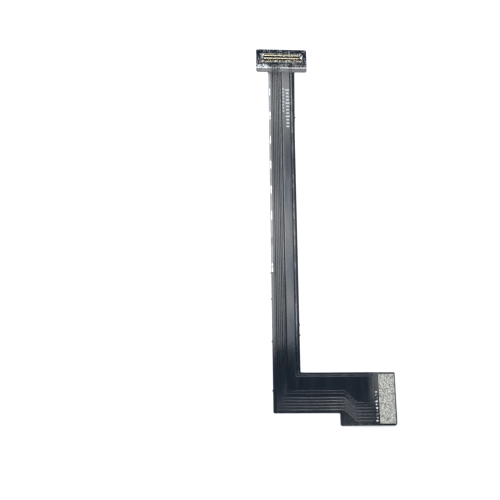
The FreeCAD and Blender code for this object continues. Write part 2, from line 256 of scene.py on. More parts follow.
def grain(finish, scale, stretch=(1, 1, 1), detail=3.0, turn=0.0):
    """Noise on the object's coordinates, stretched along an axis, and turned about the vertical."""
    tree = finish.node_tree
    place = tree.nodes.new("ShaderNodeTexCoord")
    mapping = tree.nodes.new("ShaderNodeMapping")
    mapping.inputs["Scale"].default_value = stretch
    mapping.inputs["Rotation"].default_value = (0, 0, math.radians(turn))
    noise = tree.nodes.new("ShaderNodeTexNoise")
    noise.inputs["Scale"].default_value = scale
    noise.inputs["Detail"].default_value = detail
    tree.links.new(place.outputs["Object"], mapping.inputs["Vector"])
    tree.links.new(mapping.outputs["Vector"], noise.inputs["Vector"])
    return noise.outputs["Fac"]


def grey(value):
    return (value, value, value)


def ramp(finish, source, *stops):
    """Colours or greys along a source's value, as (position, colour) stops."""
    node = finish.node_tree.nodes.new("ShaderNodeValToRGB")
    elements = node.color_ramp.elements
    while len(elements) < len(stops):
        elements.new(0.5)
    for element, (position, colour) in zip(elements, stops):
        element.position = position
        element.color = (*colour, 1)
    finish.node_tree.links.new(source, node.inputs["Fac"])
    return node.outputs["Color"]


def paint(finish, socket, source):
    finish.node_tree.links.new(source, finish.node_tree.nodes["Principled BSDF"].inputs[socket])


def vary(finish, socket, source, *stops):
    """Paints a socket with colours or greys along a source's value."""
    paint(finish, socket, ramp(finish, source, *stops))


# %% [markdown]
# ## The shield film
# The upper face is a thin black shield film with a satin gloss and a faint blue cast. Rolling has left fine
# streaks along its length, and the gloss changes with them. One even black would do for the colour, but the
# eye finds the streaks in the gloss, so noise that is stretched along the strip paints both.

# %% Streaked black film
shield_finish = new_finish("satin_black_film", colour=(0.006, 0.009, 0.013), roughness=0.09)
film_tone = ramp(shield_finish, grain(shield_finish, scale=260, stretch=(1, 0.18, 1), detail=4),
                 (0.3, (0.004, 0.007, 0.011)), (0.7, (0.007, 0.011, 0.016)))
film_rough = ramp(shield_finish, grain(shield_finish, scale=900, stretch=(1, 0.1, 1), detail=3),
                  (0.3, grey(0.07)), (0.7, grey(0.11)))

# %% [markdown]
# The film over the left rail is painted paler, and the right rail gets broken pale patches: both are painted
# highlights where the raised rails catch the lamps. The edges beside the groove get painted highlights on the
# upper half of the strip. These could be thin pieces of their own, but nothing lies there on the real cable.
# So each is a patch of colour between two places across and two places along the strip, with soft borders.

# %% Helpers for a patch of colour


def both(finish, first, second):
    """The product of two shares."""
    node = finish.node_tree.nodes.new("ShaderNodeMath")
    node.operation = "MULTIPLY"
    finish.node_tree.links.new(first, node.inputs[0])
    finish.node_tree.links.new(second, node.inputs[1])
    return node.outputs[0]


def between(finish, axis, low, high, soft):
    """One where the object's coordinate lies between two places, and zero outside, with soft borders."""
    tree = finish.node_tree
    place = tree.nodes.new("ShaderNodeTexCoord")
    split = tree.nodes.new("ShaderNodeSeparateXYZ")
    tree.links.new(place.outputs["Object"], split.inputs["Vector"])
    edges = []
    for start, end in ((low - soft, low), (high + soft, high)):
        edge = tree.nodes.new("ShaderNodeMapRange")
        edge.inputs["From Min"].default_value = start
        edge.inputs["From Max"].default_value = end
        tree.links.new(split.outputs[axis], edge.inputs["Value"])
        edges.append(edge.outputs["Result"])
    return both(finish, *edges)


def patch(finish, across, along, soft_across, soft_along):
    """One on a rectangle of the cable's plan, and zero outside, with soft borders."""
    return both(finish, between(finish, "X", *across, soft_across), between(finish, "Y", *along, soft_along))


def blend(finish, share, first, second):
    """The second colour where the share is one, and the first where it is zero."""
    node = finish.node_tree.nodes.new("ShaderNodeMixRGB")
    finish.node_tree.links.new(share, node.inputs["Fac"])
    for socket, colour in (("Color1", first), ("Color2", second)):
        if isinstance(colour, tuple):
            node.inputs[socket].default_value = (*colour, 1)
        else:
            finish.node_tree.links.new(colour, node.inputs[socket])
    return node.outputs["Color"]


# %% Painted highlights on the groove edges and the rails
groove_edges = (-11.46 * MM, -10.86 * MM)
groove_highlight_half = 0.07 * MM
groove_highlight_along = (-12 * MM, 55 * MM)
groove_highlight_colour = (0.2, 0.205, 0.21)
left_rail_across, left_rail_along = (-15.15 * MM, -14.5 * MM), (-13 * MM, 47.5 * MM)
left_rail_highlight_colour = (0.24, 0.24, 0.235)
right_rail_across, right_rail_along = (-8.33 * MM, -7.98 * MM), (-33 * MM, 49 * MM)
right_rail_glint_colour = (0.2, 0.21, 0.22)

# Painted highlights: the edges beside the groove are made paler on the upper half of the strip.
for middle in groove_edges:
    groove_highlight = patch(shield_finish, (middle - groove_highlight_half, middle + groove_highlight_half), groove_highlight_along,
                   soft_across=0.04 * MM, soft_along=6.0 * MM)
    film_tone = blend(shield_finish, groove_highlight, film_tone, groove_highlight_colour)
# Painted highlight: the film over the left rail is made paler.
left_rail = patch(shield_finish, left_rail_across, left_rail_along,
                  soft_across=0.12 * MM, soft_along=1.0 * MM)
film_tone = blend(shield_finish, left_rail, film_tone, left_rail_highlight_colour)
# Painted glints: broken pale patches along the right rail.
patchy = ramp(shield_finish, grain(shield_finish, scale=420, stretch=(1, 0.5, 1), detail=3),
              (0.44, grey(0)), (0.6, grey(0.8)))
right_rail = both(shield_finish, patchy, patch(shield_finish, right_rail_across, right_rail_along,
                                               soft_across=0.06 * MM, soft_along=1.0 * MM))
film_tone = blend(shield_finish, right_rail, film_tone, right_rail_glint_colour)
print("patches on the strip:", len(groove_edges) + 2)

# %% [markdown]
# The head was pressed under heat: its film is glossy and crinkled. Its pale flecks are painted glints, and the
# white patch on its left shoulder, where the film bends over the plate's edge, is a painted highlight. Real
# lumps in the mesh would take many thousands of faces, so they are painted as bump in the next cell. The
# glints and the highlight are painted as colour here.

# %% Painted glints and a painted highlight on the head
head_along = (50.9 * MM, 60 * MM)
glint_fleck_colour = (0.52, 0.53, 0.57)
glint_fleck_scale, glint_fleck_share = 1800, (0.6, 0.66)
shoulder_highlight_across, shoulder_highlight_along = (-18.3 * MM, -15.1 * MM), (50.35 * MM, 51.05 * MM)
shoulder_highlight_colour = (0.56, 0.58, 0.58)

on_head = between(shield_finish, "Y", *head_along, soft=0.3 * MM)
# Painted glints: pale flecks over the head.
glint_flecks = ramp(shield_finish, grain(shield_finish, glint_fleck_scale, detail=2),
              (glint_fleck_share[0], grey(0)), (glint_fleck_share[1], grey(1)))
film_tone = blend(shield_finish, both(shield_finish, glint_flecks, on_head), film_tone, glint_fleck_colour)
# Painted highlight: a white patch on the left shoulder, broken up by noise.
shoulder_highlight = patch(shield_finish, shoulder_highlight_across, shoulder_highlight_along, soft_across=0.4 * MM, soft_along=0.25 * MM)
broken = ramp(shield_finish, grain(shield_finish, scale=900, detail=3), (0.4, grey(0.15)), (0.56, grey(1)))
film_tone = blend(shield_finish, both(shield_finish, shoulder_highlight, broken), film_tone, shoulder_highlight_colour)
paint(shield_finish, "Base Color", film_tone)
paint(shield_finish, "Roughness", blend(shield_finish, on_head, film_rough, grey(0.04)))
print(shield_finish.name, "is painted")

# %% [markdown]
# The relief has three sizes: slow waves of the whole film, the lumps of the pressed head, and a grain that
# is just coarse enough to soften a mirror. One noise of many sizes would put lumps on the flat strip too,
# so there are three bumps. Each takes the one before as its normal, and so they add up.

# %% Relief of the shield film


def emboss(finish, source, depth, after=None):
    """Bump from a source, on top of an earlier bump."""
    tree = finish.node_tree
    node = tree.nodes.new("ShaderNodeBump")
    node.inputs["Distance"].default_value = depth
    node.inputs["Strength"].default_value = 1.0
    tree.links.new(source, node.inputs["Height"])
    if after is not None:
        tree.links.new(after, node.inputs["Normal"])
    paint(finish, "Normal", node.outputs["Normal"])
    return node.outputs["Normal"]


def lumps_of(finish):
    """The round lumps of film that was pressed under heat."""
    return ramp(finish, grain(finish, scale=1400, detail=1), (0.5, grey(0)), (0.7, grey(1)))


lump_depth = 0.13 * MM
slow_wave = grain(shield_finish, scale=140, stretch=(1.4, 0.35, 1), detail=2)
relief = emboss(shield_finish, slow_wave, depth=0.035 * MM)
relief = emboss(shield_finish, both(shield_finish, lumps_of(shield_finish), on_head), lump_depth, after=relief)
emboss(shield_finish, grain(shield_finish, scale=5200, detail=2), depth=0.001 * MM, after=relief)
print(shield_finish.name, "nodes:", len(shield_finish.node_tree.nodes))

# %% [markdown]
# ## The other films
# The underside, the groove beside the power plane, two gaps between signal lines and the right margin never
# got the shine of the pressing plate. They mirror less, which is what a low specular level does: a rougher
# film would only smear the same light. The window round the head's connector shows the cover film below,
# lumpy as the head is, with the same painted glints. The core shows only at the cut edges.

# %% Dull film, lacquered cover film and film core
dull_finish = new_finish("dull_black_film", colour=(0.006, 0.008, 0.011), roughness=0.16)
dull_finish.node_tree.nodes["Principled BSDF"].inputs["Specular IOR Level"].default_value = 0.09
dull_tone = grain(dull_finish, scale=700, stretch=(1, 0.4, 1), detail=4)
vary(dull_finish, "Base Color", dull_tone, (0.3, (0.004, 0.006, 0.009)), (0.7, (0.009, 0.012, 0.016)))
vary(dull_finish, "Roughness", dull_tone, (0.3, grey(0.12)), (0.7, grey(0.22)))

lacquer_colour = (0.008, 0.009, 0.012)
lacquer_finish = new_finish("lacquered_cover_film", lacquer_colour, roughness=0.14)
lacquer_lumps = lumps_of(lacquer_finish)
emboss(lacquer_finish, lacquer_lumps, lump_depth)
# Painted glints: the same pale flecks as on the head.
vary(lacquer_finish, "Base Color", grain(lacquer_finish, glint_fleck_scale, detail=2),
     (glint_fleck_share[0], lacquer_colour), (glint_fleck_share[1], glint_fleck_colour))
vary(lacquer_finish, "Roughness", lacquer_lumps, (0.35, grey(0.07)), (0.65, grey(0.13)))

edge_finish = new_finish("film_core", colour=(0.007, 0.008, 0.01), roughness=0.1)
vary(edge_finish, "Base Color", grain(edge_finish, scale=2400, detail=3),
     (0.3, (0.005, 0.006, 0.008)), (0.7, (0.01, 0.011, 0.012)))

# %% [markdown]
# ## Copper and gold
# Copper foil has a rolled grain, and the gold on the contacts is so thin that it looks pale and uneven. The
# feet of the contacts are wetted by solder and flux, which leaves dark and bright places side by side, and
# they are darkened further by painted shade beside the moulding. A clean gold would be easier, but the rows
# look brownish and broken, so dark patches break it up.

# %% Copper and gold
copper_finish = new_finish("etched_copper", colour=(0.72, 0.4, 0.25), roughness=0.35, metallic=1.0)
copper_tone = grain(copper_finish, scale=3000, stretch=(1, 0.3, 1))
vary(copper_finish, "Base Color", copper_tone, (0.3, (0.6, 0.32, 0.2)), (0.7, (0.78, 0.45, 0.3)))

gold_finish = new_finish("thin_gold", colour=(0.5, 0.43, 0.28), roughness=0.24, metallic=1.0)
gold_tone = grain(gold_finish, scale=2500)
vary(gold_finish, "Base Color", gold_tone, (0.35, (0.33, 0.29, 0.18)), (0.65, (0.58, 0.53, 0.38)))
vary(gold_finish, "Roughness", gold_tone, (0.3, grey(0.2)), (0.7, grey(0.34)))

# The contact feet: dark solder and flux, and painted shade beside the moulding.
solder_and_shade_finish = new_finish("solder_and_painted_shade_gold", colour=(0.16, 0.13, 0.08), roughness=0.35, metallic=1.0)
solder_and_shade_tone = grain(solder_and_shade_finish, scale=2600)
vary(solder_and_shade_finish, "Base Color", solder_and_shade_tone, (0.45, (0.05, 0.042, 0.03)), (0.62, (0.5, 0.45, 0.34)))

# %% [markdown]
# ## Tin
# The bare pads on the left rail are bright tin with dull spots, which is why they look like broken dashes.
# The last pad but one is tarnished and can hardly be seen. The clips and the lands beside the plate carry an
# older tin that has gone dark in patches. The bump could have a noise of its own, but one noise for the
# colour and the bump makes a dark place also a low one, as it is on real tin.

# %% Bright and tarnished tin
tarnished_along = (-8 * MM, -1 * MM)
tin_finish = new_finish("bright_tin", colour=(0.6, 0.6, 0.59), roughness=0.28, metallic=0.9)
tin_tone = grain(tin_finish, scale=2600)
bare_tin = ramp(tin_finish, tin_tone, (0.38, grey(0.18)), (0.54, grey(0.72)))
last_but_one = between(tin_finish, "Y", *tarnished_along, soft=0.5 * MM)
paint(tin_finish, "Base Color", blend(tin_finish, last_but_one, bare_tin, grey(0.08)))
emboss(tin_finish, tin_tone, depth=0.018 * MM)

clip_finish = new_finish("tarnished_tin", colour=(0.3, 0.3, 0.3), roughness=0.3, metallic=0.9)
clip_tone = grain(clip_finish, scale=1900, detail=4)
vary(clip_finish, "Base Color", clip_tone, (0.46, (0.05, 0.05, 0.052)), (0.6, (0.6, 0.6, 0.59)))
emboss(clip_finish, clip_tone, depth=0.03 * MM)

# %% [markdown]
# ## Sheet metal
# The plate behind the head is plain rolled steel, with streaks across. The plate on the wide end is rough
# and speckled, light and dark flakes with warm grey between. Real pits would cost many faces, so noise
# turned one way gives the flakes, and a second one, turned the other way, roughens them.

# %% Rolled steel and the speckled plate
steel_finish = new_finish("rolled_steel", colour=(0.6, 0.6, 0.6), roughness=0.36, metallic=1.0)
steel_tone = grain(steel_finish, scale=1200, stretch=(0.15, 1, 1), detail=5)
vary(steel_finish, "Base Color", steel_tone, (0.3, grey(0.5)), (0.7, grey(0.68)))
emboss(steel_finish, steel_tone, depth=0.004 * MM)

speckle_finish = new_finish("speckled_plate_metal", colour=(0.33, 0.32, 0.28), roughness=0.4, metallic=0.7)
speckle = grain(speckle_finish, scale=5200, stretch=(1, 0.6, 1), detail=3, turn=35)
vary(speckle_finish, "Base Color", speckle,
     (0.38, (0.075, 0.07, 0.058)), (0.48, (0.25, 0.24, 0.205)), (0.6, (0.5, 0.48, 0.42)))
relief = emboss(speckle_finish, speckle, depth=0.01 * MM)
streak = grain(speckle_finish, scale=2600, stretch=(1, 0.25, 1), detail=3, turn=-35)
emboss(speckle_finish, streak, depth=0.008 * MM, after=relief)

# %% [markdown]
# ## Moulding, adhesive and ink
# The connector's body is black plastic filled with glass, so it is a little rough and never quite black. The
# adhesive under the plates is amber, and shows only at its edges. The white ink is thin and lets the film
# through in places. Even colours would pass from afar, but close up a fine noise keeps them from looking
# like wet paint.

# %% Moulding, adhesive and ink
moulding_finish = new_finish("black_moulding", colour=(0.03, 0.03, 0.032), roughness=0.42)
moulding_tone = grain(moulding_finish, scale=5000, detail=4)
vary(moulding_finish, "Base Color", moulding_tone, (0.3, grey(0.02)), (0.7, (0.045, 0.043, 0.04)))
emboss(moulding_finish, moulding_tone, depth=0.004 * MM)

adhesive_finish = new_finish("amber_adhesive", colour=(0.35, 0.2, 0.08), roughness=0.4)
vary(adhesive_finish, "Base Color", grain(adhesive_finish, scale=1500),
     (0.3, (0.28, 0.15, 0.05)), (0.7, (0.42, 0.25, 0.11)))

ink_finish = new_finish("white_ink", colour=(0.7, 0.7, 0.7), roughness=0.6)
vary(ink_finish, "Base Color", grain(ink_finish, scale=4500, detail=4), (0.3, grey(0.6)), (0.6, grey(0.82)))
print("finishes:", len(bpy.data.materials))

# %% [markdown]
# ## Working with the CAD meshes
# A CAD node stays as it is. Where a film or plate needs rounded edges, a copy of its mesh is worked on in
# edit mode and then stands in for the node. It could be drawn anew instead, but a copy keeps every outline
# where the CAD has it. The copy comes as loose triangles, so it is welded first, and its flat faces are
# joined, because a bevel needs whole edges.

# %% Helpers for edit mode
# The least share of a face's normal along a direction, for a face that looks that way.
facing = 0.9


def only(piece):
    """Makes a piece the only selected and active object."""
    bpy.ops.object.select_all(action="DESELECT")
    piece.select_set(True)
    bpy.context.view_layer.objects.active = piece


def edit(piece):
    only(piece)
    bpy.ops.object.mode_set(mode="EDIT")


def leave():
    bpy.ops.object.mode_set(mode="OBJECT")


def pick(piece, kind, wanted):
    """In edit mode, selects the edges or faces for which wanted is true, and counts them."""
    mesh = bmesh.from_edit_mesh(piece.data)
    bpy.ops.mesh.select_mode(type=kind)
    bpy.ops.mesh.select_all(action="DESELECT")
    found = [item for item in (mesh.edges if kind == "EDGE" else mesh.faces) if wanted(item)]
    for item in found:
        item.select_set(True)
    bmesh.update_edit_mesh(piece.data)
    return len(found)


def pick_edges(piece, wanted):
    return pick(piece, "EDGE", wanted)


def pick_faces(piece, wanted):
    return pick(piece, "FACE", wanted)


def looks_up(face):
    return face.normal.z > facing


# %% Helpers that copy a node and join its flats
weld_reach = 0.0002 * MM
flat_angle = math.radians(0.6)


def welded_copy(node, name):
    """A copy of a CAD node's mesh as a new piece, with its loose triangles welded together."""
    piece = bpy.data.objects.new(name, nodes[node].data.copy())
    piece.data.name = name
    piece.data.materials.clear()
    bpy.context.scene.collection.objects.link(piece)
    only(piece)
    bpy.ops.mesh.customdata_custom_splitnormals_clear()
    edit(piece)
    bpy.ops.mesh.select_all(action="SELECT")
    bpy.ops.mesh.remove_doubles(threshold=weld_reach)
    leave()
    return piece


def join_flats(piece):
    edit(piece)
    bpy.ops.mesh.select_all(action="SELECT")
    bpy.ops.mesh.dissolve_limited(angle_limit=flat_angle, use_dissolve_boundaries=False)
    leave()


# %% Helpers that round and smooth a piece
sharp_angle = math.radians(40)


def sharp(edge):
    return len(edge.link_faces) == 2 and edge.calc_face_angle() > sharp_angle


def smooth(piece, angle=50):
    """Smooth shading in which a bevel bends round and the flat faces beside it stay flat."""
    only(piece)
    bpy.ops.object.shade_smooth_by_angle(angle=math.radians(angle))
    modifier = piece.modifiers.new("even", "WEIGHTED_NORMAL")
    modifier.keep_sharp = True
    modifier.mode = "CORNER_ANGLE"
    modifier.use_face_influence = True
    bpy.ops.object.modifier_apply(modifier=modifier.name)


def round_edges(piece, wanted, radius, segments):
    """Bevels the edges for which wanted(edge) is true, and marks the flat faces as the stronger ones."""
    edit(piece)
    count = pick_edges(piece, wanted)
    bpy.ops.mesh.bevel(offset=radius, segments=segments, clamp_overlap=True, face_strength_mode="AFFECTED")
    leave()
    print(piece.name, "edges rounded", count)


# %% Helpers that finish a piece


def two_finishes(piece, first, second, wanted):
    """The second finish goes on the faces for which wanted(face) is true, and the first on the rest."""
    for finish in (first, second):
        piece.data.materials.append(finish)
    edit(piece)
    count = pick_faces(piece, wanted)
    piece.active_material_index = 1
    bpy.ops.object.material_slot_assign()
    leave()
    print(piece.name, second.name, "on", count, "faces")


def dress(piece, finish, slot, *replaced):
    """Gives a finished piece its material, hides the CAD nodes that it stands for, and hangs it on the root.
    The slot is not used.
    """
    if finish:
        piece.data.materials.clear()
        piece.data.materials.append(finish)
    if replaced:
        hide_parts(*replaced)
    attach(piece, "root")
    piece.data.calc_loop_triangles()
    print(piece.name, "triangles", len(piece.data.loop_triangles))


# %% [markdown]
# ## Where the laminate climbs
# In front of the head the laminate climbs on to a stiffener, and along the arm it climbs to the height of
# the connector under the wide end. The solids climb with sharp folds, but a film is too stiff to fold, so it
# bends softly. A lattice could bend it as a whole, but would pull the ridges along. Here each film is
# pressed flat, worked on, cut across where it bends, and lifted on to a smooth curve again.

# %% Places of the two climbs
head_rise_run, head_bend_half = 0.85 * MM, 0.17 * MM
tail_rise_run, tail_bend_half = 13.0 * MM, 3.0 * MM
tail_flat = 6.7 * MM
# A point lower along y than this belongs to the arm.
arm_side_end = -30 * MM

head_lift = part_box("head_bonding_sheet")[1].z
head_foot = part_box("head_stiffener")[0].y - head_rise_run
tail_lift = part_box("lower_cover_film")[1].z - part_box("base_film")[0].z
tail_foot = cad_box[1][0] - tail_flat - tail_rise_run
# A climb is its foot, its run, its lift, and half the length of each soft bend.
head_rise = (head_foot, head_rise_run, head_lift, head_bend_half)
tail_rise = (tail_foot, tail_rise_run, tail_lift, tail_bend_half)
print("climbs in mm:", in_mm([head_rise, tail_rise]))

# %% Helpers that press a film flat


def rise_at(point):
    """How far along its climb a point lies, and the climb that it belongs to."""
    if point.y > arm_side_end:
        return point.y, head_rise
    return point.x, tail_rise


def height_in_layer(point):
    """How far a point lies above the underside of the laminate, as the CAD has it."""
    along, (foot, run, lift, _) = rise_at(point)
    bend = math.atan2(lift, run)
    set_back = math.tan(bend / 2)
    if along < foot - point.z * set_back:
        return point.z
    if along < foot + run - (point.z - lift) * set_back:
        return point.z * math.cos(bend) - (along - foot) * math.sin(bend)
    return point.z - lift


def press_flat(piece):
    for vertex in piece.data.vertices:
        vertex.co.z = height_in_layer(vertex.co)


# %% Helpers that cut a film across and lift it again
cut_slack = 0.00001 * MM
head_bend_parts, tail_bend_parts = 8, 12


def eased(reach, slope, half):
    """A slope that starts at zero, with a soft corner."""
    if reach < -half:
        return 0.0
    if reach < half:
        return slope * (reach + half) ** 2 / (4 * half)
    return slope * reach


def underside(point):
    """The height of the laminate's underside at a point, with soft bends."""
    along, (foot, run, lift, half) = rise_at(point)
    slope = lift / run
    return eased(along - foot, slope, half) - eased(along - foot - run, slope, half)


def cut_across(piece, axis, places):
    edit(piece)
    normal = Vector((axis == "x", axis == "y", 0))
    for place in places:
        bpy.ops.mesh.select_all(action="SELECT")
        bpy.ops.mesh.bisect(plane_co=normal * place, plane_no=normal, threshold=cut_slack)
    leave()


def bend_places(rise, parts):
    foot, run, _, half = rise
    steps = [half * (2 * step / parts - 1) for step in range(parts + 1)]
    return [foot + step for step in steps] + [foot + run + step for step in steps]


def lift_again(piece):
    cut_across(piece, "y", bend_places(head_rise, head_bend_parts))
    cut_across(piece, "x", bend_places(tail_rise, tail_bend_parts))
    for vertex in piece.data.vertices:
        vertex.co.z += underside(vertex.co)


# %% [markdown]
# ## The ridges
# The upper films drape over the copper, so every conductor shows as a ridge. In the solids a ridge is
# square. A plain bevel rounds it too, but on such narrow steps it runs into itself and leaves a flat top.
# So the rim of each top is sunk, and inset rings let the top rise again to a low dome, as a pressed film
# has. The signal lines get wide rings, and the guard line and the left rail narrow ones. A small bevel then
# rounds the foot, where the film leaves the flat.

# %% Sizes of the ridges
shield_low = 0.19 * MM
shield_high = 0.25 * MM
level_slack = 0.004 * MM
left_rail_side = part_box("ground_rail_left")[1].x + 0.2 * MM
guard_width = 0.35 * MM
# Each ring is its width and how far it rises.
rail_rings = ((0.028 * MM, 0.02 * MM), (0.024 * MM, 0.01 * MM))
guard_rings = ((0.045 * MM, 0.02 * MM), (0.045 * MM, 0.011 * MM), (0.035 * MM, 0.004 * MM))
line_rings = ((0.075 * MM, 0.02 * MM), (0.07 * MM, 0.011 * MM), (0.045 * MM, 0.004 * MM))
foot_round, foot_segments = 0.02 * MM, 2
print("ridges stand", round((shield_high - shield_low) / MM, 3), "mm proud")

# %% Helpers for the ridges


def at_level(item, level):
    """True where all corners of an edge or face lie at a height."""
    return all(abs(vertex.co.z - level) < level_slack for vertex in item.verts)


def is_foot(edge):
    return sharp(edge) and at_level(edge, shield_low)


def top_width(face):
    return 2 * face.calc_area() / face.calc_perimeter()


def on_left_rail(face):
    return all(vertex.co.x < left_rail_side for vertex in face.verts)


def is_line(face):
    return not on_left_rail(face) and top_width(face) > guard_width


def is_guard(face):
    return not on_left_rail(face) and top_width(face) <= guard_width


def dome(piece, wanted, rings):
    """Sinks the rim of the flat tops for which wanted(face) is true, and lets each rise again in rings."""
    edit(piece)
    count = pick_faces(piece, lambda face: looks_up(face) and wanted(face) and at_level(face, shield_high))
    bpy.ops.transform.translate(value=(0, 0, -sum(rise for _, rise in rings)))
    for width, rise in rings:
        bpy.ops.mesh.inset(thickness=width, depth=rise, use_even_offset=False)
    bpy.ops.mesh.mod_weighted_strength(set=True, face_strength="STRONG")
    leave()
    print(piece.name, "tops domed", count)


# %% [markdown]
# The dull film lies in lanes along the strip: the groove, the gaps left of the second and the fifth signal
# line, and the margin along the right rail. Their borders could be typed in, but here they come from the
# boxes of the conductors, so they stay right if the conductors move.

# %% Lanes of dull film
into_groove, over_margin, gap_width = 0.2 * MM, 0.6 * MM, 0.17 * MM
groove = (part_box("guard_line")[0].x + into_groove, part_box("power_plane")[0].x)
right_margin = (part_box("ground_rail_right")[0].x - over_margin, 0)
line_starts = [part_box(node)[0].x for node in ("signal_line_2", "signal_line_5")]
line_gaps = [(start - gap_width, start) for start in line_starts]
dull_lanes = (groove, right_margin, *line_gaps)
above_arm, before_head = 3 * MM, 1 * MM
dull_stretch = (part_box("tail_stiffener")[1].y + above_arm, head_foot - before_head)


def is_dull(face):
    """A low flat stretch of the strip in one of the dull lanes."""
    centre = face.calc_center_median()
    in_lane = any(low < centre.x < high for low, high in dull_lanes)
    on_strip = dull_stretch[0] < centre.y < dull_stretch[1]
    return in_lane and on_strip and looks_up(face) and at_level(face, shield_low)


print("dull lanes in mm:", in_mm(dull_lanes))

# %% [markdown]
# ## The four films
# All four films go through the same steps, so that they stay parallel where they bend. Only the shield film
# shows its ridges, so it alone gets the domes, the round feet and the dull lanes. The others could be left
# as the solids are, but their cut edges show along the two climbs.

# %% Drape and bend the four films
film_finishes = {
    "shield_film": (None, "shield_film"),
    "upper_cover_film": (lacquer_finish, "cover_film"),
    "base_film": (edge_finish, "cover_film"),
    "lower_cover_film": (dull_finish, "cover_film"),
}
ridge_tops = ((on_left_rail, rail_rings), (is_guard, guard_rings), (is_line, line_rings))

for node, (finish, slot) in film_finishes.items():
    film = welded_copy(node, node + "_draped")
    press_flat(film)
    join_flats(film)
    if node == "shield_film":
        for wanted, rings in ridge_tops:
            dome(film, wanted, rings)
        round_edges(film, is_foot, foot_round, foot_segments)
        cut_across(film, "y", dull_stretch)
        two_finishes(film, shield_finish, dull_finish, is_dull)
    lift_again(film)
    smooth(film)
    dress(film, finish, slot, node)

# %% [markdown]
# ## Stiffeners, lands and pads
# The plates are punched sheet, with a slight round on every edge. The bare lands and pads are tinned, and
# molten tin pulls itself into a low dome. A subdivision surface would round them too, but would shrink such
# thin plates, so all of them get a bevel, and the tin the wider one for its thickness.

# %% Round the plates and the tinned places


def rounded_copy(node, name, finish, slot, radius, segments=2):
    piece = welded_copy(node, name)
    join_flats(piece)
    round_edges(piece, sharp, radius, segments)
    smooth(piece)
    dress(piece, finish, slot, node)


rounded_copy("tail_stiffener", "speckled_plate", speckle_finish, "speckled_metal", radius=0.03 * MM)
rounded_copy("head_stiffener", "head_plate", steel_finish, "stiffener_metal", radius=0.03 * MM)
rounded_copy("terminal_lands", "tinned_lands", clip_finish, "tin_plating", radius=0.028 * MM, segments=3)
rounded_copy("rail_contact_pads", "bare_rail_pads", tin_finish, "tin_plating", radius=0.012 * MM)
for end in ("head", "tail"):
    for number in ("1", "2"):
        rounded_copy(end + "_hold_down_" + number, end + "_clip_" + number, clip_finish, "tin_plating",
                     radius=0.025 * MM)
    rounded_copy(end + "_solder_joints", end + "_solder", tin_finish, "tin_plating", radius=0.015 * MM)

# %% [markdown]
# ## The connectors
# A board connector of this kind is a black moulding with 30 gold contacts over each long wall. One contact
# is bent from a flat strip: a tail on the film, a leg up the wall, over its top, and down into the trough.
# It could be swept along a curve, but a strip that is extruded edge by edge, with its bends bevelled, has
# the flat section of stamped metal. It is modelled once and repeated along the row by an array.

# %% Sizes of the connector
contact_spacing = 0.35 * MM
contacts_per_row = 30
contact_width = 0.19 * MM
contact_thickness = 0.09 * MM
contact_inner = 0.22 * MM
contact_outer = 0.72 * MM
contact_tail = 1.25 * MM
contact_foot = 0.25 * MM
bend_round, bend_segments = 0.08 * MM, 2
land_thickness = 0.03 * MM
connector_height = 0.8 * MM
row_length = contact_spacing * (contacts_per_row - 1)
print("row of contacts in mm:", round(row_length / MM, 2))

# %% Bend one contact
half_thick = contact_thickness / 2
tail_height = land_thickness + half_thick
leg_y = contact_outer - half_thick
tail_length = contact_tail - leg_y
touch = 0.001 * MM

bpy.ops.object.select_all(action="DESELECT")
bpy.ops.mesh.primitive_plane_add(size=1, location=(0, 0, 0))
contact = bpy.context.object
contact.name = "contact_strip"
bpy.ops.object.mode_set(mode="EDIT")
bpy.ops.transform.resize(value=(contact_width, tail_length, 1))
bpy.ops.transform.translate(value=(0, leg_y + tail_length / 2, tail_height))


def edge_at(y, z):
    """The edge across the strip at this place."""
    def wanted(edge):
        return all(abs(vertex.co.y - y) < touch and abs(vertex.co.z - z) < touch for vertex in edge.verts)
    return wanted


bends = [(leg_y, tail_height)]
for step_y, step_z in ((0, connector_height - half_thick - tail_height),
                       (contact_inner + half_thick - leg_y, 0),
                       (0, contact_foot - connector_height + half_thick)):
    pick_edges(contact, edge_at(*bends[-1]))
    bpy.ops.mesh.extrude_region_move(TRANSFORM_OT_translate={"value": (0, step_y, step_z)})
    bends.append((bends[-1][0] + step_y, bends[-1][1] + step_z))
pick_edges(contact, lambda edge: any(edge_at(*bend)(edge) for bend in bends[:3]))
bpy.ops.mesh.bevel(offset=bend_round, segments=bend_segments)
bpy.ops.mesh.select_all(action="SELECT")
bpy.ops.mesh.normals_make_consistent(inside=False)
leave()
print("one contact:", len(contact.data.polygons), "faces")

# %% Repeat it along the row
for kind, settings in (("SOLIDIFY", {"thickness": contact_thickness, "offset": 0.0}),
                       ("ARRAY", {"count": contacts_per_row, "use_relative_offset": False,
                                  "use_constant_offset": True,
                                  "constant_offset_displace": (contact_spacing, 0, 0)})):
    modifier = contact.modifiers.new(kind.lower(), kind)
    for name, value in settings.items():
        setattr(modifier, name, value)
    bpy.ops.object.modifier_apply(modifier=modifier.name)
contact.data.transform(Matrix.Translation((-row_length / 2, 0, 0)))
edit(contact)
bpy.ops.mesh.select_all(action="SELECT")
bpy.ops.mesh.normals_make_consistent(inside=False)
leave()
# Below this height the contacts get the finish of solder, flux and painted shade.
solder_and_shade_height = 2 * tail_height
two_finishes(contact, gold_finish, solder_and_shade_finish, lambda face: face.calc_center_median().z < solder_and_shade_height)
print("row of contacts:", len(contact.data.polygons), "faces")

# %% [markdown]
# ## The moulding
# The moulding is a long block with a trough, and its walls have a slot for each contact, so that the
# contacts sit between ribs. Cutting sixty slots with booleans would work, but leaves ragged faces. Here a
# cube is shaped by cuts and extrusions, then cut across beside each contact, and the faces that a contact
# covers are pushed in.

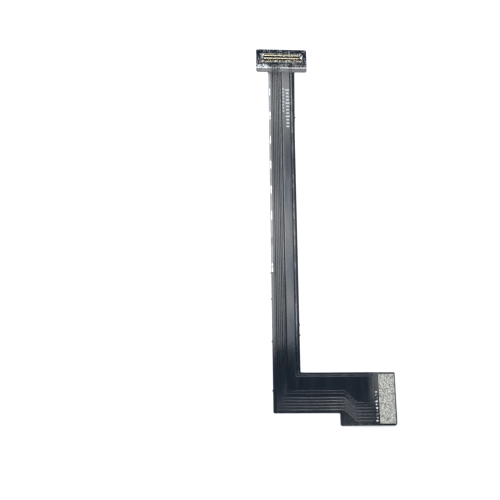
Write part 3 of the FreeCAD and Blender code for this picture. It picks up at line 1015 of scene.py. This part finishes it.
# %% Shape the block and its trough
trough_floor = 0.2 * MM
rib_setback = 0.02 * MM
row_end_reach = 0.3 * MM
seam_reach = 0.0005 * MM
housing_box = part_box("head_connector_housing")
housing_length = housing_box[1].x - housing_box[0].x
trough_end = row_length / 2 + row_end_reach
middle_end = 0.99 * trough_end
wall_inner = contact_inner + rib_setback
wall_outer = contact_outer - rib_setback
wall_top = connector_height - rib_setback
slot_depth = contact_thickness - rib_setback
end_wall = contact_outer - contact_thickness
end_top = connector_height - contact_thickness

bpy.ops.object.select_all(action="DESELECT")
bpy.ops.mesh.primitive_cube_add(size=1, location=(0, 0, 0))
moulding = bpy.context.object
moulding.name = "slotted_moulding"
bpy.ops.object.mode_set(mode="EDIT")
bpy.ops.transform.resize(value=(housing_length, 2 * end_wall, end_top))
bpy.ops.transform.translate(value=(0, 0, end_top / 2))
leave()
cut_across(moulding, "x", [-trough_end, trough_end])


def in_middle(face):
    """A face of the stretch between the two end walls."""
    return abs(face.calc_center_median().x) < middle_end


def push(wanted, move):
    """Extrudes the moulding's faces for which wanted(face) is true."""
    pick_faces(moulding, wanted)
    bpy.ops.mesh.extrude_region_move(TRANSFORM_OT_translate={"value": tuple(move)})


def on_top(low, high):
    """The middle stretch's upper faces between two distances from the middle line."""
    return lambda face: (in_middle(face) and looks_up(face)
                         and low < abs(face.calc_center_median().y) < high)


edit(moulding)
for side in (Vector((0, 1, 0)), Vector((0, -1, 0))):
    push(lambda face: in_middle(face) and face.normal.dot(side) > facing, side * slot_depth)
leave()
cut_across(moulding, "y", [-wall_inner, wall_inner])
edit(moulding)
push(on_top(wall_inner, wall_outer), (0, 0, wall_top - end_top))
push(on_top(-touch, wall_inner), (0, 0, trough_floor - end_top))
bpy.ops.mesh.select_all(action="SELECT")
bpy.ops.mesh.remove_doubles(threshold=seam_reach)
leave()
print("block with trough:", len(moulding.data.polygons), "faces")

# %% Cut the slots for the contacts
slot_clearance = 0.012 * MM
wall_slack = 0.002 * MM
slot_half = contact_width / 2 + slot_clearance
near_middle = 0.3 * slot_half
slot_middles = [-row_length / 2 + contact_spacing * place for place in range(contacts_per_row)]
cut_across(moulding, "x", [middle + side * slot_half for middle in slot_middles for side in (-1, 1)])


def in_slot(face):
    """A wall face that a contact covers."""
    centre = face.calc_center_median()
    if min(abs(centre.x - middle) for middle in slot_middles) > near_middle:
        return False
    outside = abs(abs(centre.y) - wall_outer) < wall_slack
    above = abs(centre.z - wall_top) < wall_slack
    inside = abs(abs(centre.y) - wall_inner) < wall_slack and centre.z > trough_floor
    return outside or above or inside


edit(moulding)
count = pick_faces(moulding, in_slot)
bpy.ops.mesh.extrude_region_shrink_fatten(
    TRANSFORM_OT_shrink_fatten={"value": -slot_depth, "use_even_offset": True})
leave()
print("moulding: slot faces", count, "faces", len(moulding.data.polygons))

# %% [markdown]
# ## Placing both connectors
# The connector on the head looks up. The one under the wide end is the same piece, turned over and a quarter
# round, so it looks down. A linked copy would save memory, but each piece needs a mesh of its own, in which
# its place is kept. Each row is the same contact strip, and the second row is turned by half a turn.

# %% Place both connectors
connector_smooth = 35
tail_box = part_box("tail_connector_housing")
head_middle = (housing_box[0] + housing_box[1]) / 2
tail_middle = (tail_box[0] + tail_box[1]) / 2
turned_over = Matrix.Rotation(math.radians(90), 4, "Z") @ Matrix.Rotation(math.pi, 4, "X")
half_turn = Matrix.Rotation(math.pi, 4, "Z")
places = {
    "head": Matrix.Translation((head_middle.x, head_middle.y, housing_box[0].z)),
    "tail": Matrix.Translation((tail_middle.x, tail_middle.y, tail_box[1].z)) @ turned_over,
}
row_names = {"head": ("far_row", "near_row"), "tail": ("outer_row", "inner_row")}


def set_down(model, name, matrix, finish, slot, node):
    piece = bpy.data.objects.new(name, model.data.copy())
    piece.data.name = name
    bpy.context.scene.collection.objects.link(piece)
    piece.data.transform(matrix)
    smooth(piece, connector_smooth)
    dress(piece, finish, slot, node)


for end, matrix in places.items():
    set_down(moulding, end + "_moulding", matrix, moulding_finish, "moulding", end + "_connector_housing")
    for row, turn in zip(row_names[end], (Matrix.Identity(4), half_turn)):
        set_down(contact, end + "_gold_" + row, matrix @ turn, None, "gold_plating",
                 end + "_contacts_" + row)
for model in (contact, moulding):
    bpy.data.objects.remove(model)

# %% [markdown]
# ## The ticks
# Two columns of small white ticks, as on a ruler, are printed near the head. They could be painted by nodes,
# but their edges would then blur. Each tick is a very thin plate of ink with round
# corners, and all of them are joined into one piece.

# %% Print the ticks
ink_thickness = 0.008 * MM
tick_width = 0.5 * MM
corner_round, corner_segments = 0.12 * MM, 3
full_every, short_share = 4, 0.72
shield_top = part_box("rail_contact_pads")[1].z
# The length is that of a full tick, and every tick between two full ones is shorter.
tick_columns = (
    {"x": -10.62 * MM, "length": 0.5 * MM, "top": 43.3 * MM, "count": 8, "step": 1.04 * MM},
    {"x": -9.37 * MM, "length": 1.15 * MM, "top": 43.0 * MM, "count": 12, "step": 1.08 * MM},
)


def upright(edge):
    return abs(edge.verts[0].co.z - edge.verts[1].co.z) > ink_thickness / 2


ticks = []
for column in tick_columns:
    for number in range(column["count"]):
        length = column["length"] * (1.0 if number % full_every == 0 else short_share)
        bpy.ops.object.select_all(action="DESELECT")
        bpy.ops.mesh.primitive_cube_add(size=1, location=(0, 0, 0))
        tick = bpy.context.object
        bpy.ops.object.mode_set(mode="EDIT")
        bpy.ops.transform.resize(value=(length, tick_width, ink_thickness))
        bpy.ops.transform.translate(value=(column["x"], column["top"] - number * column["step"],
                                           shield_top + ink_thickness / 2))
        pick_edges(tick, upright)
        bpy.ops.mesh.bevel(offset=corner_round, segments=corner_segments)
        leave()
        ticks.append(tick)
bpy.ops.object.select_all(action="DESELECT")
for tick in ticks:
    tick.select_set(True)
bpy.context.view_layer.objects.active = ticks[0]
bpy.ops.object.join()
marking = ticks[0]
marking.name = "marking_ticks"
dress(marking, ink_finish, None)

# %% [markdown]
# ## The CAD nodes that stay
# The copper, the adhesive sheets and the solder lands have the right shape already, and films cover most of
# them. New pieces would gain nothing, so they only get a finish.

# %% Paint the remaining nodes
stay = {
    "signal_line": copper_finish, "ground_rail": copper_finish, "guard_line": copper_finish,
    "power_plane": copper_finish, "bonding_sheet": adhesive_finish, "solder_lands": solder_and_shade_finish,
}
for name, node in nodes.items():
    for word, finish in stay.items():
        if word in name:
            node.data.materials.clear()
            node.data.materials.append(finish)
            print(name, finish.name)
